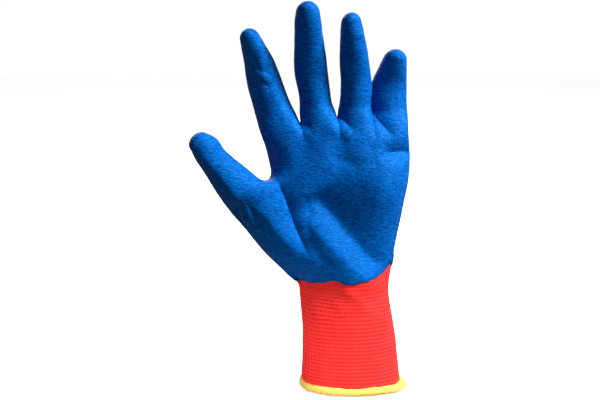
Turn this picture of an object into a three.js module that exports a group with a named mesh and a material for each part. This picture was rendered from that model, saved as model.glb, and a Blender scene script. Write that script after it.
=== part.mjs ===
// A left-hand work glove: a seamless knitted liner with five finger stalls and an
// elastic cuff, an overlocked hem, and a crinkle latex coating dipped on the palm.
// Millimetres, +Z from the cuff to the fingertips, palm towards -Y, thumb towards -X.
// The origin is the centre of the wrist opening, in the plane of the hem's lower edge.
import * as THREE from "three";

// Walls. The tables below give the finished outside; the coating lies on the knit.
const KNIT_WALL = 1.2;
const CUFF_WALL = 1.6;
const COAT_WALL = 1.0;
const GAP = 0.3;
const SEAM_TRIM = 0.2;
const MOST_STRETCH = 2.4;
const COAT_OUTSIDE = COAT_WALL + GAP;

// Points round one finger: five in front, five behind, three on each side.
const FACE_VERTS = 5;
const FINGER_SIDES = 2 * FACE_VERTS + 6;

// The rounded tip's rings, in degrees from its base, and where the coating stops on the
// back of a stall: the sine of the angle that it reaches behind the stall's side.
const TIP_RING_ANGLES = [34, 64];
const BARE_BACK = 0.34;

// Cuff sections from the hem up: height, left and right edge, palm and back depth.
const CUFF_SECTIONS = [
  { z: 2.0, left: -31.7, right: 31.0, palm: -21.5, back: 21.0, squareness: 2.1 },
  { z: 23.0, left: -31.2, right: 28.7, palm: -21.0, back: 20.1, squareness: 2.1 },
  { z: 44.0, left: -31.2, right: 25.8, palm: -20.4, back: 19.2, squareness: 2.1 },
  { z: 64.2, left: -33.0, right: 22.4, palm: -20.0, back: 18.2, squareness: 2.2 },
];

// Hand sections above the cuff. The first is the row that the dip line follows.
const HAND_SECTIONS = [
  { z: 72.0, left: -34.6, right: 24.6, palm: -21.0, back: 18.0, squareness: 2.3 },
  { z: 80.0, left: -44.6, right: 25.0, palm: -21.2, back: 17.8, squareness: 2.4 },
  { z: 88.0, left: -48.8, right: 26.0, palm: -21.0, back: 17.5, squareness: 2.4 },
  { z: 96.0, left: -51.0, right: 27.2, palm: -20.4, back: 17.2, squareness: 2.5 },
  { z: 104.5, left: -52.0, right: 28.8, palm: -19.6, back: 16.9, squareness: 2.5 },
  { z: 113.5, left: -52.0, right: 30.6, palm: -19.0, back: 16.7, squareness: 2.5 },
  { z: 123.0, left: -52.0, right: 32.1, palm: -18.3, back: 16.5, squareness: 2.6 },
  { z: 131.5, left: -50.8, right: 33.8, palm: -17.6, back: 16.2, squareness: 2.6 },
  { z: 143.0, left: -51.9, right: 34.9, palm: -16.6, back: 15.9, squareness: 2.7 },
  { z: 155.0, left: -54.4, right: 34.6, palm: -15.4, back: 15.4, squareness: 2.8 },
];

// The hand's outermost palm and back columns, as a share of its half width.
const EDGE_ACROSS = 0.985;

// The finger line: the outer sides of the hand and the three webs between fingers.
const WEBS = [
  { x: -57.5, y: 0.0, z: 164.0 },
  { x: -31.8, y: 0.0, z: 165.4 },
  { x: -9.8, y: 0.0, z: 169.0 },
  { x: 11.4, y: 1.5, z: 167.0 },
  { x: 33.9, y: 2.0, z: 166.0 },
];
const STALL_BASE_DEPTH = { palm: 13.6, back: 13.6 };
const STALL_BASE_DROP = 1.2;
const STALL_BASE_FULLNESS = 0.6;
const WEB_HALF_DEPTH = 4.6;
const WEB_SHOULDER = 2.0;
const WEB_DROP = { palm: 1.5, back: 3.0 };
const OUTER_WEB_INSET = 1.8;
const ROOT_EASE = 0.6;

// Finger stalls: section centres, half widths and half depths, and the tip's length.
const FINGERS = [
  {
    name: "index",
    tipLength: 8.2,
    sections: [
      { x: -49.3, y: -1.5, z: 177.3, halfWidth: 11.7, halfDepth: 10.6 },
      { x: -53.4, y: -3.0, z: 189.6, halfWidth: 10.9, halfDepth: 10.0 },
      { x: -55.7, y: -5.0, z: 198.8, halfWidth: 10.3, halfDepth: 9.5 },
      { x: -58.2, y: -8.5, z: 207.9, halfWidth: 8.9, halfDepth: 8.5 },
      { x: -60.5, y: -11.5, z: 214.2, halfWidth: 7.5, halfDepth: 7.6 },
      { x: -62.2, y: -14.5, z: 219.4, halfWidth: 6.3, halfDepth: 6.4 },
    ],
  },
  {
    name: "middle",
    tipLength: 7.9,
    sections: [
      { x: -23.4, y: -1.0, z: 181.0, halfWidth: 10.1, halfDepth: 10.4 },
      { x: -24.6, y: -2.5, z: 191.0, halfWidth: 9.9, halfDepth: 9.9 },
      { x: -26.4, y: -5.0, z: 202.0, halfWidth: 10.4, halfDepth: 9.6 },
      { x: -27.3, y: -9.0, z: 213.5, halfWidth: 9.5, halfDepth: 9.0 },
      { x: -28.2, y: -14.0, z: 225.6, halfWidth: 8.5, halfDepth: 8.2 },
      { x: -28.6, y: -18.0, z: 235.0, halfWidth: 7.2, halfDepth: 6.8 },
    ],
  },
  {
    name: "ring",
    tipLength: 7.6,
    sections: [
      { x: 0.7, y: -1.0, z: 181.0, halfWidth: 9.8, halfDepth: 10.0 },
      { x: 1.0, y: -3.0, z: 192.6, halfWidth: 9.3, halfDepth: 9.5 },
      { x: -0.2, y: -6.0, z: 204.0, halfWidth: 9.2, halfDepth: 9.1 },
      { x: -1.1, y: -9.5, z: 213.5, halfWidth: 8.5, halfDepth: 8.5 },
      { x: -2.0, y: -13.0, z: 222.5, halfWidth: 7.5, halfDepth: 7.5 },
      { x: -2.7, y: -15.5, z: 228.6, halfWidth: 6.2, halfDepth: 6.3 },
    ],
  },
  {
    name: "little",
    tipLength: 8.2,
    sections: [
      { x: 22.7, y: 5.5, z: 176.5, halfWidth: 11.1, halfDepth: 9.6 },
      { x: 22.5, y: 6.0, z: 185.0, halfWidth: 10.9, halfDepth: 9.2 },
      { x: 23.0, y: 5.0, z: 193.5, halfWidth: 10.2, halfDepth: 8.7 },
      { x: 23.8, y: 2.5, z: 200.5, halfWidth: 8.9, halfDepth: 7.9 },
      { x: 24.6, y: 0.0, z: 206.6, halfWidth: 7.5, halfDepth: 6.9 },
    ],
  },
];

// The thumb stall grows from an opening in the hand's thumb side.
const THUMB = {
  name: "thumb",
  tipLength: 7.8,
  rootRings: 3,
  firstColumn: -3,
  lastColumn: 3,
  firstSection: 1,
  lastSection: 7,
  sections: [
    { x: -67.8, y: -15.0, z: 128.2, halfWidth: 13.6, halfDepth: 12.4 },
    { x: -77.4, y: -18.5, z: 140.3, halfWidth: 11.2, halfDepth: 10.8 },
    { x: -85.6, y: -21.5, z: 150.6, halfWidth: 9.3, halfDepth: 9.4 },
    { x: -91.2, y: -24.0, z: 158.2, halfWidth: 7.0, halfDepth: 7.2 },
  ],
};

// Where the latex ends below the palm, from the thumb side to the little finger.
const DIP_LINE = [
  { x: -38, z: 68.0 },
  { x: -23, z: 69.8 },
  { x: -11.5, z: 73.6 },
  { x: -3.6, z: 70.6 },
  { x: 7, z: 72.4 },
  { x: 18.5, z: 76.5 },
  { x: 26, z: 82.0 },
];
const DIP_BACK_Z = 76;
const DIP_ROWS = 3;
const DIP_ROW_FOLLOW = 0.8;

// Folds of the palm: a ridge (positive height) or a groove along a line of three points.
const FOLDS = [
  { name: "thenar_crease", height: -3.4, width: 5.5, line: [[-40, 127], [-32, 106], [-22, 86]] },
  { name: "thenar_ridge", height: 2.2, width: 8.0, line: [[-60, 128], [-46, 110], [-29, 86]] },
  { name: "heel_ridge", height: 3.2, width: 8.0, line: [[-17, 109], [-6, 93], [16, 75]] },
  { name: "heel_groove", height: -2.0, width: 5.0, line: [[-24, 100], [-17, 86], [-8, 77]] },
  { name: "side_crease", height: -1.6, width: 3.6, line: [[12, 152], [24, 152], [34, 148]] },
];
const PALM_HOLLOW = { x: 8, z: 116, halfWidth: 26, halfHeight: 30, depth: 4.6 };
const RELIEF_START = { z: 66, over: 8 };

// The overlocked hem, a channel over the cuff's edge: distance out from the cuff, height.
const CUFF_EDGE_Z = CUFF_SECTIONS[0].z;
const HEM_PROFILE = [
  { out: 0.2, z: 0 },
  { out: 1.9, z: 0.9 },
  { out: 2.2, z: 3.4 },
  { out: 1.2, z: 5.3 },
  { out: GAP, z: 5.3 },
  { out: GAP, z: CUFF_EDGE_Z - GAP },
  { out: -CUFF_WALL - GAP, z: CUFF_EDGE_Z - GAP },
  { out: -CUFF_WALL - 2 * GAP, z: 4.4 },
  { out: -CUFF_WALL - 1.9, z: 3.2 },
  { out: -CUFF_WALL - 0.8, z: 0 },
];

const LATEX_BLUE = 0x0a5cb8;
const KNIT_RED = 0xf2382e;
const HEM_YELLOW = 0xf6cf3c;

const mix = (a, b, t) => a + (b - a) * t;
const smooth = (t) => {
  const u = THREE.MathUtils.clamp(t, 0, 1);
  return u * u * (3 - 2 * u);
};
const radians = THREE.MathUtils.degToRad;

// The glove's outside as one net of faces, each tagged with its piece and its finish.
const net = { points: [], faces: [] };

function addPoint(x, y, z) {
  net.points.push(new THREE.Vector3(x, y, z));
  return net.points.length - 1;
}

function addFace(corners, piece, coated) {
  net.faces.push({ corners, piece, coated });
}

// The columns round the hand, from the thumb side along the palm and back again.
function handColumns() {
  const columns = [];
  const span = WEBS.at(-1).x - WEBS[0].x;
  const across = (x) => (2 * (x - WEBS[0].x)) / span - 1;
  const fingerColumns = (finger, side) => {
    for (let i = 1; i <= FACE_VERTS; i += 1) {
      const t = side === "palm" ? i / (FACE_VERTS + 1) : 1 - i / (FACE_VERTS + 1);
      const x = mix(WEBS[finger].x, WEBS[finger + 1].x, t);
      columns.push({ kind: "face", side, finger, t, across: across(x) });
    }
  };
  const webColumn = (web, side) => {
    columns.push({ kind: "web", side, web, across: across(WEBS[web].x) });
  };
  const last = WEBS.length - 1;
  webColumn(0, "palm");
  for (let finger = 0; finger < last; finger += 1) {
    fingerColumns(finger, "palm");
    webColumn(finger + 1, "palm");
  }
  columns.push({ kind: "edge", side: "middle", web: last, across: 1 });
  webColumn(last, "back");
  for (let finger = last - 1; finger >= 0; finger -= 1) {
    fingerColumns(finger, "back");
    webColumn(finger, "back");
  }
  columns.push({ kind: "edge", side: "middle", web: 0, across: -1 });
  return columns;
}

const COLUMNS = handColumns();

// The point of a section under one column, on a rounded superellipse.
function sectionPoint(section, column, inset) {
  const halfWidth = (section.right - section.left) / 2 - inset;
  const centre = (section.right + section.left) / 2;
  const isEdge = column.kind === "edge";
  const across = isEdge ? column.across : column.across * EDGE_ACROSS;
  const middle = (section.palm + section.back) / 2;
  if (isEdge) return [centre + across * halfWidth, middle];
  const halfDepth = (section.back - section.palm) / 2 - inset;
  const power = section.squareness;
  const rise = (1 - Math.abs(across) ** power) ** (1 / power);
  const sign = column.side === "palm" ? -1 : 1;
  return [centre + across * halfWidth, middle + sign * halfDepth * rise];
}

// Height of the dip line over a place on the palm.
function dipHeight(x) {
  const first = DIP_LINE[0];
  if (x <= first.x) return first.z;
  for (let i = 1; i < DIP_LINE.length; i += 1) {
    const [low, high] = [DIP_LINE[i - 1], DIP_LINE[i]];
    if (x <= high.x) return mix(low.z, high.z, smooth((x - low.x) / (high.x - low.x)));
  }
  return DIP_LINE.at(-1).z;
}

// One row of points for each section of the cuff and the hand.
function layRows() {
  const rows = [];
  for (const section of CUFF_SECTIONS) {
    rows.push(COLUMNS.map((column) => {
      const [x, y] = sectionPoint(section, column, 0);
      return addPoint(x, y, section.z);
    }));
  }
  HAND_SECTIONS.forEach((section, i) => {
    rows.push(COLUMNS.map((column) => {
      const inset = i === 0 ? COAT_OUTSIDE / 2 : COAT_OUTSIDE;
      const [x, y] = sectionPoint(section, column, inset);
      const toPalm = (section.back - y) / (section.back - section.palm);
      const dip = mix(DIP_BACK_Z, dipHeight(x), smooth(2 * toPalm - 0.4));
      const rise = (dip - HAND_SECTIONS[0].z) * (1 - smooth(i / DIP_ROWS));
      return addPoint(x, y, section.z + rise * (i === 0 ? 1 : DIP_ROW_FOLLOW));
    }));
  });
  return rows;
}

// The finger line: the hand's last row, from which the four stalls grow.
function layFingerLine() {
  return COLUMNS.map((column) => {
    if (column.kind === "edge") {
      const { x, y, z } = WEBS[column.web];
      return addPoint(x - Math.sign(column.across) * COAT_OUTSIDE, y, z);
    }
    const sign = column.side === "palm" ? -1 : 1;
    if (column.kind === "web") {
      const { x, y, z } = WEBS[column.web];
      const isOuter = column.web === 0 || column.web === WEBS.length - 1;
      const inset = isOuter ? Math.sign(column.across) * OUTER_WEB_INSET : 0;
      return addPoint(x - inset, y + sign * WEB_HALF_DEPTH, z - WEB_DROP[column.side]);
    }
    const [low, high] = [WEBS[column.finger], WEBS[column.finger + 1]];
    const bow = Math.sin(column.t * Math.PI);
    const fullDepth = STALL_BASE_DEPTH[column.side] - COAT_OUTSIDE;
    const depth = mix(WEB_HALF_DEPTH + WEB_SHOULDER, fullDepth, bow ** STALL_BASE_FULLNESS);
    const y = mix(low.y, high.y, column.t) + sign * depth;
    const x = mix(low.x, high.x, column.t);
    const z = mix(low.z, high.z, column.t) - WEB_DROP[column.side] - STALL_BASE_DROP * bow;
    return addPoint(x, y, z);
  });
}

// Unit direction across a stall at one of its sections, square to its run seen from the front.
function acrossAt(sections, i) {
  const before = sections[Math.max(i - 1, 0)];
  const after = sections[Math.min(i + 1, sections.length - 1)];
  return new THREE.Vector3(after.z - before.z, 0, before.x - after.x).normalize();
}

function stallRing(section, across, angles) {
  const [halfWidth, halfDepth] = [section.halfWidth, section.halfDepth].map((h) => h - COAT_OUTSIDE);
  return angles.map((angle) => new THREE.Vector3(
    section.x + across.x * halfWidth * Math.cos(angle),
    section.y - halfDepth * Math.sin(angle),
    section.z + across.z * halfWidth * Math.cos(angle),
  ));
}

// Joins each ring of points to the next with faces; isCoated(ring, side) gives their finish.
function joinRings(rings, piece, isCoated) {
  for (let r = 0; r + 1 < rings.length; r += 1) {
    const count = rings[r].length;
    for (let k = 0; k < count; k += 1) {
      const next = (k + 1) % count;
      const corners = [rings[r][k], rings[r][next], rings[r + 1][next], rings[r + 1][k]];
      addFace(corners, piece, isCoated(r, k));
    }
  }
}

// A stall's rings beyond its base, its rounded tip and the point that closes it.
function layStall(base, stall, angles, rootRings, rootEase) {
  const { sections, name } = stall;
  const rings = [base];
  const first = stallRing(sections[0], acrossAt(sections, 0), angles);
  for (let i = 1; i <= rootRings; i += 1) {
    const t = (i / (rootRings + 1)) ** rootEase;
    rings.push(base.map((index, k) => {
      const point = net.points[index].clone().lerp(first[k], t);
      return addPoint(point.x, point.y, point.z);
    }));
  }
  sections.forEach((section, i) => {
    const ring = stallRing(section, acrossAt(sections, i), angles);
    rings.push(ring.map((point) => addPoint(point.x, point.y, point.z)));
  });
  const [before, tip] = sections.slice(-2);
  const run = new THREE.Vector3(tip.x - before.x, tip.y - before.y, tip.z - before.z).normalize();
  const reach = stall.tipLength - COAT_OUTSIDE;
  const across = acrossAt(sections, sections.length - 1);
  for (const degrees of TIP_RING_ANGLES) {
    const shrink = Math.cos(radians(degrees));
    const forward = run.clone().multiplyScalar(reach * Math.sin(radians(degrees)));
    const narrowed = {
      x: tip.x + forward.x,
      y: tip.y + forward.y,
      z: tip.z + forward.z,
      halfWidth: (tip.halfWidth - COAT_OUTSIDE) * shrink + COAT_OUTSIDE,
      halfDepth: (tip.halfDepth - COAT_OUTSIDE) * shrink + COAT_OUTSIDE,
    };
    rings.push(stallRing(narrowed, across, angles).map((p) => addPoint(p.x, p.y, p.z)));
  }
  const piece = `${name}_stall`;
  const dippedAllRound = rootRings + sections.length - 1;
  const isCoated = (r, k) => {
    const facing = (Math.sin(angles[k]) + Math.sin(angles[(k + 1) % angles.length])) / 2;
    return r >= dippedAllRound || facing > -BARE_BACK;
  };
  joinRings(rings, piece, isCoated);
  const end = run.multiplyScalar(reach).add(tip);
  const pole = addPoint(end.x, end.y, end.z);
  const last = rings.at(-1);
  last.forEach((index, k) => addFace([index, last[(k + 1) % last.length], pole], piece, true));
}

// Fingers: each base ring is its part of the finger line with the two webs beside it.
function layFingers(line) {
  const webMiddles = WEBS.map((web, i) => {
    if (i === 0) return line.at(-1);
    if (i === WEBS.length - 1) return line[COLUMNS.findIndex((c) => c.kind === "edge")];
    return addPoint(web.x, web.y, web.z);
  });
  const find = (test) => line[COLUMNS.findIndex(test)];
  const web = (number, side) => find((c) => c.kind === "web" && c.web === number && c.side === side);
  const face = (finger, side) => line.filter((_, i) => {
    const column = COLUMNS[i];
    return column.kind === "face" && column.finger === finger && column.side === side;
  });
  FINGERS.forEach((stall, f) => {
    const base = [
      web(f, "palm"), ...face(f, "palm"), web(f + 1, "palm"), webMiddles[f + 1],
      web(f + 1, "back"), ...face(f, "back"), web(f, "back"), webMiddles[f],
    ];
    const start = Math.PI * (1 - 2 / FINGER_SIDES);
    const angles = base.map((_, k) => start - (k * 2 * Math.PI) / FINGER_SIDES);
    layStall(base, stall, angles, 1, ROOT_EASE);
  });
}

const HAND_FIRST_ROW = CUFF_SECTIONS.length;

function inThumbHole(row, column) {
  const count = COLUMNS.length;
  const shifted = (column - THUMB.firstColumn + count) % count;
  const section = row - HAND_FIRST_ROW;
  return shifted < THUMB.lastColumn - THUMB.firstColumn
    && section >= THUMB.firstSection && section < THUMB.lastSection;
}

// The cuff and the hand as rings of faces, with the thumb's opening left out. The back is
// bare between its first and last column.
function layHand(rows) {
  const bareFrom = COLUMNS.findIndex((c) => c.side === "back");
  const bareTo = COLUMNS.findLastIndex((c) => c.side === "back");
  for (let r = 0; r + 1 < rows.length; r += 1) {
    for (let k = 0; k < COLUMNS.length; k += 1) {
      if (inThumbHole(r, k)) continue;
      const next = (k + 1) % COLUMNS.length;
      const corners = [rows[r][k], rows[r][next], rows[r + 1][next], rows[r + 1][k]];
      const piece = r < HAND_FIRST_ROW - 1 ? "knit_cuff" : "hand_body";
      const isBack = k >= bareFrom && k < bareTo;
      addFace(corners, piece, r >= HAND_FIRST_ROW && !isBack);
    }
  }
}

// The thumb: its base ring is the edge of the opening, taken round from the palm side.
function layThumb(rows) {
  const count = COLUMNS.length;
  const column = (c) => (c + count) % count;
  const [low, high] = [HAND_FIRST_ROW + THUMB.firstSection, HAND_FIRST_ROW + THUMB.lastSection];
  const base = [];
  for (let r = low; r < high; r += 1) base.push(rows[r][column(THUMB.firstColumn)]);
  for (let c = THUMB.firstColumn; c < THUMB.lastColumn; c += 1) base.push(rows[high][column(c)]);
  for (let r = high; r > low; r -= 1) base.push(rows[r][column(THUMB.lastColumn)]);
  for (let c = THUMB.lastColumn; c > THUMB.firstColumn; c -= 1) base.push(rows[low][column(c)]);
  base.reverse();
  const box = new THREE.Box3().setFromPoints(base.map((index) => net.points[index]));
  const centre = box.getCenter(new THREE.Vector3());
  const size = box.getSize(new THREE.Vector3());
  const angles = base.map((index) => {
    const point = net.points[index];
    return Math.atan2((centre.y - point.y) / size.y, (point.z - centre.z) / size.z);
  });
  layStall(base, THUMB, angles, THUMB.rootRings, 1);
}

// Distance from a place on the palm to a fold's line.
function distanceToLine(x, z, line) {
  let nearest = Infinity;
  for (let i = 0; i + 1 < line.length; i += 1) {
    const [[ax, az], [bx, bz]] = [line[i], line[i + 1]];
    const [dx, dz] = [bx - ax, bz - az];
    const t = THREE.MathUtils.clamp(((x - ax) * dx + (z - az) * dz) / (dx * dx + dz * dz), 0, 1);
    nearest = Math.min(nearest, Math.hypot(x - ax - t * dx, z - az - t * dz));
  }
  return nearest;
}

function palmRelief(x, z) {
  const hollow = ((x - PALM_HOLLOW.x) / PALM_HOLLOW.halfWidth) ** 2
    + ((z - PALM_HOLLOW.z) / PALM_HOLLOW.halfHeight) ** 2;
  const folds = FOLDS.map(({ height, width, line }) => {
    return height * Math.exp(-((distanceToLine(x, z, line) / width) ** 2));
  });
  return folds.reduce((sum, h) => sum + h, -PALM_HOLLOW.depth * Math.exp(-hollow));
}

function faceNormal({ corners }) {
  const [a, b, c, d] = corners.map((index) => net.points[index]);
  return c.clone().sub(a).cross((d ?? a).clone().sub(b)).normalize();
}

function netNormals() {
  const normals = net.points.map(() => new THREE.Vector3());
  for (const face of net.faces) {
    const normal = faceNormal(face);
    for (const index of face.corners) normals[index].add(normal);
  }
  return normals.map((normal) => normal.normalize());
}

// How far a point moves for each millimetre of offset, so that walls keep their thickness.

function offsetDirections(normals) {
  const lean = normals.map(() => [0, 0]);
  for (const face of net.faces) {
    const normal = faceNormal(face);
    for (const index of face.corners) {
      lean[index][0] += normal.dot(normals[index]);
      lean[index][1] += 1;
    }
  }
  return normals.map((normal, i) => {
    const stretch = lean[i][1] / lean[i][0];
    return normal.clone().multiplyScalar(THREE.MathUtils.clamp(stretch, 1, MOST_STRETCH));
  });
}

// Each four-sided face is split along the fold that it lies on.
function turnDiagonals(normals) {
  for (const face of net.faces) {
    const [a, b, c, d] = face.corners;
    if (d === undefined) continue;
    const along = normals[a].dot(normals[c]);
    if (along < normals[b].dot(normals[d])) face.corners = [b, c, d, a];
  }
}

function foldPalm() {
  const normals = netNormals();
  net.points.forEach((point, i) => {
    const facing = smooth(-1.6 * normals[i].y - 0.3);
    const aboveCuff = smooth((point.z - RELIEF_START.z) / RELIEF_START.over);
    point.y -= palmRelief(point.x, point.z) * facing * aboveCuff;
  });
}

// The patch's directed edges, and for each point on its rim the neighbours inside the patch.
function patchEdges(faces) {
  const edges = new Map();
  for (const { corners } of faces) {
    corners.forEach((index, i) => {
      const next = corners[(i + 1) % corners.length];
      edges.set(`${index},${next}`, [index, next]);
    });
  }
  const isInside = ([a, b]) => edges.has(`${b},${a}`);
  const rim = [...edges.values()].filter((edge) => !isInside(edge));
  const inward = new Map(rim.flat().map((index) => [index, []]));
  for (const [a, b] of [...edges.values()].filter(isInside)) inward.get(a)?.push(b);
  return { rim, inward };
}

// A closed solid from a patch of the net: its faces at two offsets, joined round the rim.
// The rim is drawn back along the net by the trim, which leaves a gap to the next patch.
function thicken(faces, outside, inside, trim) {
  const { rim, inward } = patchEdges(faces);
  const place = (index, offset) => {
    const start = net.points[index];
    const slide = new THREE.Vector3();
    const direction = outward[index].clone();
    const neighbours = inward.get(index) ?? [];
    for (const neighbour of neighbours) {
      const end = net.points[neighbour];
      const part = trim / start.distanceTo(end) / neighbours.length;
      slide.addScaledVector(end, part).addScaledVector(start, -part);
      direction.addScaledVector(outward[neighbour], part).addScaledVector(outward[index], -part);
    }
    return slide.add(start).addScaledVector(direction, offset);
  };
  const used = [...new Set(faces.flatMap((face) => face.corners))];
  const order = new Map(used.map((index, i) => [index, i]));
  const positions = [outside, inside].flatMap((offset) => {
    return used.flatMap((index) => place(index, offset).toArray());
  });
  const outer = (index) => order.get(index);
  const inner = (index) => order.get(index) + used.length;
  const triangles = [];
  for (const { corners } of faces) {
    for (let i = 1; i + 1 < corners.length; i += 1) {
      const [a, b, c] = [corners[0], corners[i], corners[i + 1]];
      triangles.push(outer(a), outer(b), outer(c), inner(a), inner(c), inner(b));
    }
  }
  for (const [a, b] of rim) {
    const wall = [outer(b), outer(a), inner(a), inner(b)];
    if (a > b) wall.push(wall.shift());
    triangles.push(wall[0], wall[1], wall[2], wall[0], wall[2], wall[3]);
  }
  return geometryFrom(positions, triangles);
}

function geometryFrom(positions, triangles) {
  const geometry = new THREE.BufferGeometry();
  geometry.setAttribute("position", new THREE.Float32BufferAttribute(positions, 3));
  geometry.setIndex(triangles);
  geometry.computeVertexNormals();
  return geometry;
}

// The hem: its profile taken round the cuff's lowest row.
function hemGeometry(ring) {
  const positions = [];
  for (const index of ring) {
    const point = net.points[index];
    const out = normals[index].clone().setZ(0).normalize();
    for (const step of HEM_PROFILE) {
      positions.push(point.x + out.x * step.out, point.y + out.y * step.out, step.z);
    }
  }
  const steps = HEM_PROFILE.length;
  const triangles = [];
  for (let k = 0; k < ring.length; k += 1) {
    for (let s = 0; s < steps; s += 1) {
      const a = k * steps + s;
      const b = k * steps + ((s + 1) % steps);
      const [c, d] = [a, b].map((i) => (i + steps) % (ring.length * steps));
      triangles.push(a, c, b, b, c, d);
    }
  }
  return geometryFrom(positions, triangles);
}

const rows = [...layRows(), layFingerLine()];
layHand(rows);
layFingers(rows.at(-1));
layThumb(rows);
foldPalm();
const normals = netNormals();
const outward = offsetDirections(normals);
turnDiagonals(normals);

const knit = new THREE.MeshStandardMaterial({ color: KNIT_RED, roughness: 0.85, metalness: 0 });
const latex = new THREE.MeshStandardMaterial({ color: LATEX_BLUE, roughness: 0.45, metalness: 0 });
const thread = new THREE.MeshStandardMaterial({ color: HEM_YELLOW, roughness: 0.7, metalness: 0 });

const glove = new THREE.Group();

function addPiece(name, geometry, material) {
  const mesh = new THREE.Mesh(geometry, material);
  mesh.name = name;
  glove.add(mesh);
}

const facesOf = (piece) => net.faces.filter((face) => face.piece === piece);
const STALLS = [...FINGERS, THUMB].map((stall) => `${stall.name}_stall`);
for (const piece of ["hand_body", ...STALLS]) {
  addPiece(piece, thicken(facesOf(piece), 0, -KNIT_WALL, SEAM_TRIM), knit);
}
addPiece("knit_cuff", thicken(facesOf("knit_cuff"), 0, -CUFF_WALL, SEAM_TRIM), knit);
addPiece("latex_coating", thicken(net.faces.filter((face) => face.coated), COAT_OUTSIDE, GAP, 0), latex);
addPiece("overlock_hem", hemGeometry(rows[0]), thread);

export default glove;
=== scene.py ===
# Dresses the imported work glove: a crinkle latex coating with a rolled edge on a seamless knitted
# liner, an elastic cuff with real stitches, and an overlocked hem wound with yellow thread.
# Lengths in the tables are millimetres, in the same frame as the solids.
import math

import bpy
import numpy as np
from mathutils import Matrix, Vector, kdtree, noise


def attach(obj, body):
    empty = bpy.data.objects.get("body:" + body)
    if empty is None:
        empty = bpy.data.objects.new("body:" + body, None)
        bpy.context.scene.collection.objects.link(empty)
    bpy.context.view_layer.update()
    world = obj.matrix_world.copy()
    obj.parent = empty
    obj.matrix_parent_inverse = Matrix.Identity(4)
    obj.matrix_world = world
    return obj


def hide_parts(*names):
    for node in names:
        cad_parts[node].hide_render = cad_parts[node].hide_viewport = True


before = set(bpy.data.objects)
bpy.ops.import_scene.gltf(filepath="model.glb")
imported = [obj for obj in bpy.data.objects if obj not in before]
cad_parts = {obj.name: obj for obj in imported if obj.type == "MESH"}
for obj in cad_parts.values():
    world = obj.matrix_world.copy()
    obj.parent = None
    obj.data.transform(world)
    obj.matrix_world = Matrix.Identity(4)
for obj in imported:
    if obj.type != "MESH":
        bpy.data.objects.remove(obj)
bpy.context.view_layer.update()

MM = 0.001

# Walls. The section tables give the finished outside; the coating lies on the knit.
KNIT_WALL = 1.2
CUFF_WALL = 1.6
COAT_OUTSIDE = 1.3
COAT_INSIDE = 0.1

# Points round one finger: five in front, five behind, three on each side.
FACE_VERTS = 5
FINGER_SIDES = 2 * FACE_VERTS + 6
TIP_RING_ANGLES = (34, 64)
BARE_BACK = 0.34

# Sections from the hem up: height, left and right edge, palm and back depth, squareness.
CUFF_SECTIONS = [
    (2.0, -32.1, 31.5, -21.5, 21.0, 2.1),
    (23.0, -31.6, 29.2, -21.0, 20.1, 2.1),
    (44.0, -31.6, 26.3, -20.4, 19.2, 2.1),
    (64.2, -33.6, 23.0, -20.0, 18.2, 2.2),
]
HAND_SECTIONS = [
    (72.0, -35.2, 25.8, -21.0, 18.0, 2.3),
    (80.0, -47.0, 26.2, -21.2, 17.8, 2.4),
    (88.0, -50.2, 26.4, -21.0, 17.5, 2.4),
    (96.0, -51.0, 27.2, -20.4, 17.2, 2.5),
    (104.5, -52.0, 28.8, -19.6, 16.9, 2.5),
    (113.5, -52.0, 30.6, -19.0, 16.7, 2.5),
    (123.0, -52.0, 32.1, -18.3, 16.5, 2.6),
    (131.5, -50.8, 33.8, -17.6, 16.2, 2.6),
    (143.0, -51.9, 34.9, -16.6, 15.9, 2.7),
    (155.0, -54.4, 34.6, -15.4, 15.4, 2.8),
]
EDGE_ACROSS = 0.985

# The finger line: the hand's outer sides and the three webs (x, y, z), and the stalls' bases.
WEBS = [(-57.5, 0.0, 164.0), (-31.8, 0.0, 165.4), (-9.8, 0.0, 169.0), (11.4, 1.5, 167.0), (33.9, 2.0, 166.0)]
STALL_BASE_DEPTH = 13.6
STALL_BASE_DROP = 1.2
STALL_BASE_FULLNESS = 0.6
WEB_DEPTH = {"palm": 8.6, "back": 4.6}
WEB_SHOULDER = 2.0
WEB_DROP = {"palm": 1.5, "back": 3.0}
OUTER_WEB_INSET = 1.8
ROOT_EASE = 0.6

# Stall sections: centre x, y, z, half width and half depth; tip is the rounded end's length.
FINGERS = [
    {"tip": 8.2, "sections": [
        (-49.3, -1.5, 177.3, 11.7, 10.6), (-53.4, -3.0, 189.6, 10.9, 10.0), (-55.7, -5.0, 198.8, 10.3, 9.5),
        (-58.2, -8.5, 207.9, 8.9, 8.5), (-60.5, -11.5, 214.2, 7.5, 7.6), (-62.2, -14.5, 219.4, 6.3, 6.4)]},
    {"tip": 7.9, "sections": [
        (-23.4, -1.0, 181.0, 10.1, 10.4), (-24.6, -2.5, 191.0, 9.9, 9.9), (-26.4, -5.0, 202.0, 10.4, 9.6),
        (-27.3, -9.0, 213.5, 9.5, 9.0), (-28.2, -14.0, 225.6, 8.5, 8.2), (-28.6, -18.0, 235.0, 7.2, 6.8)]},
    {"tip": 7.6, "sections": [
        (0.7, -1.0, 181.0, 9.8, 10.0), (1.3, -3.0, 192.6, 9.6, 9.5), (-0.2, -6.0, 204.0, 9.2, 9.1),
        (-1.1, -9.5, 213.5, 8.5, 8.5), (-2.0, -13.0, 222.5, 7.5, 7.5), (-2.7, -15.5, 228.6, 6.2, 6.3)]},
    {"tip": 8.2, "sections": [
        (21.8, 5.8, 176.5, 12.0, 9.6), (21.5, 6.4, 185.0, 11.9, 9.2), (22.2, 5.4, 193.5, 11.0, 8.7),
        (23.5, 2.6, 200.5, 9.3, 7.9), (24.6, 0.0, 206.6, 7.5, 6.9)]},
]
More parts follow.
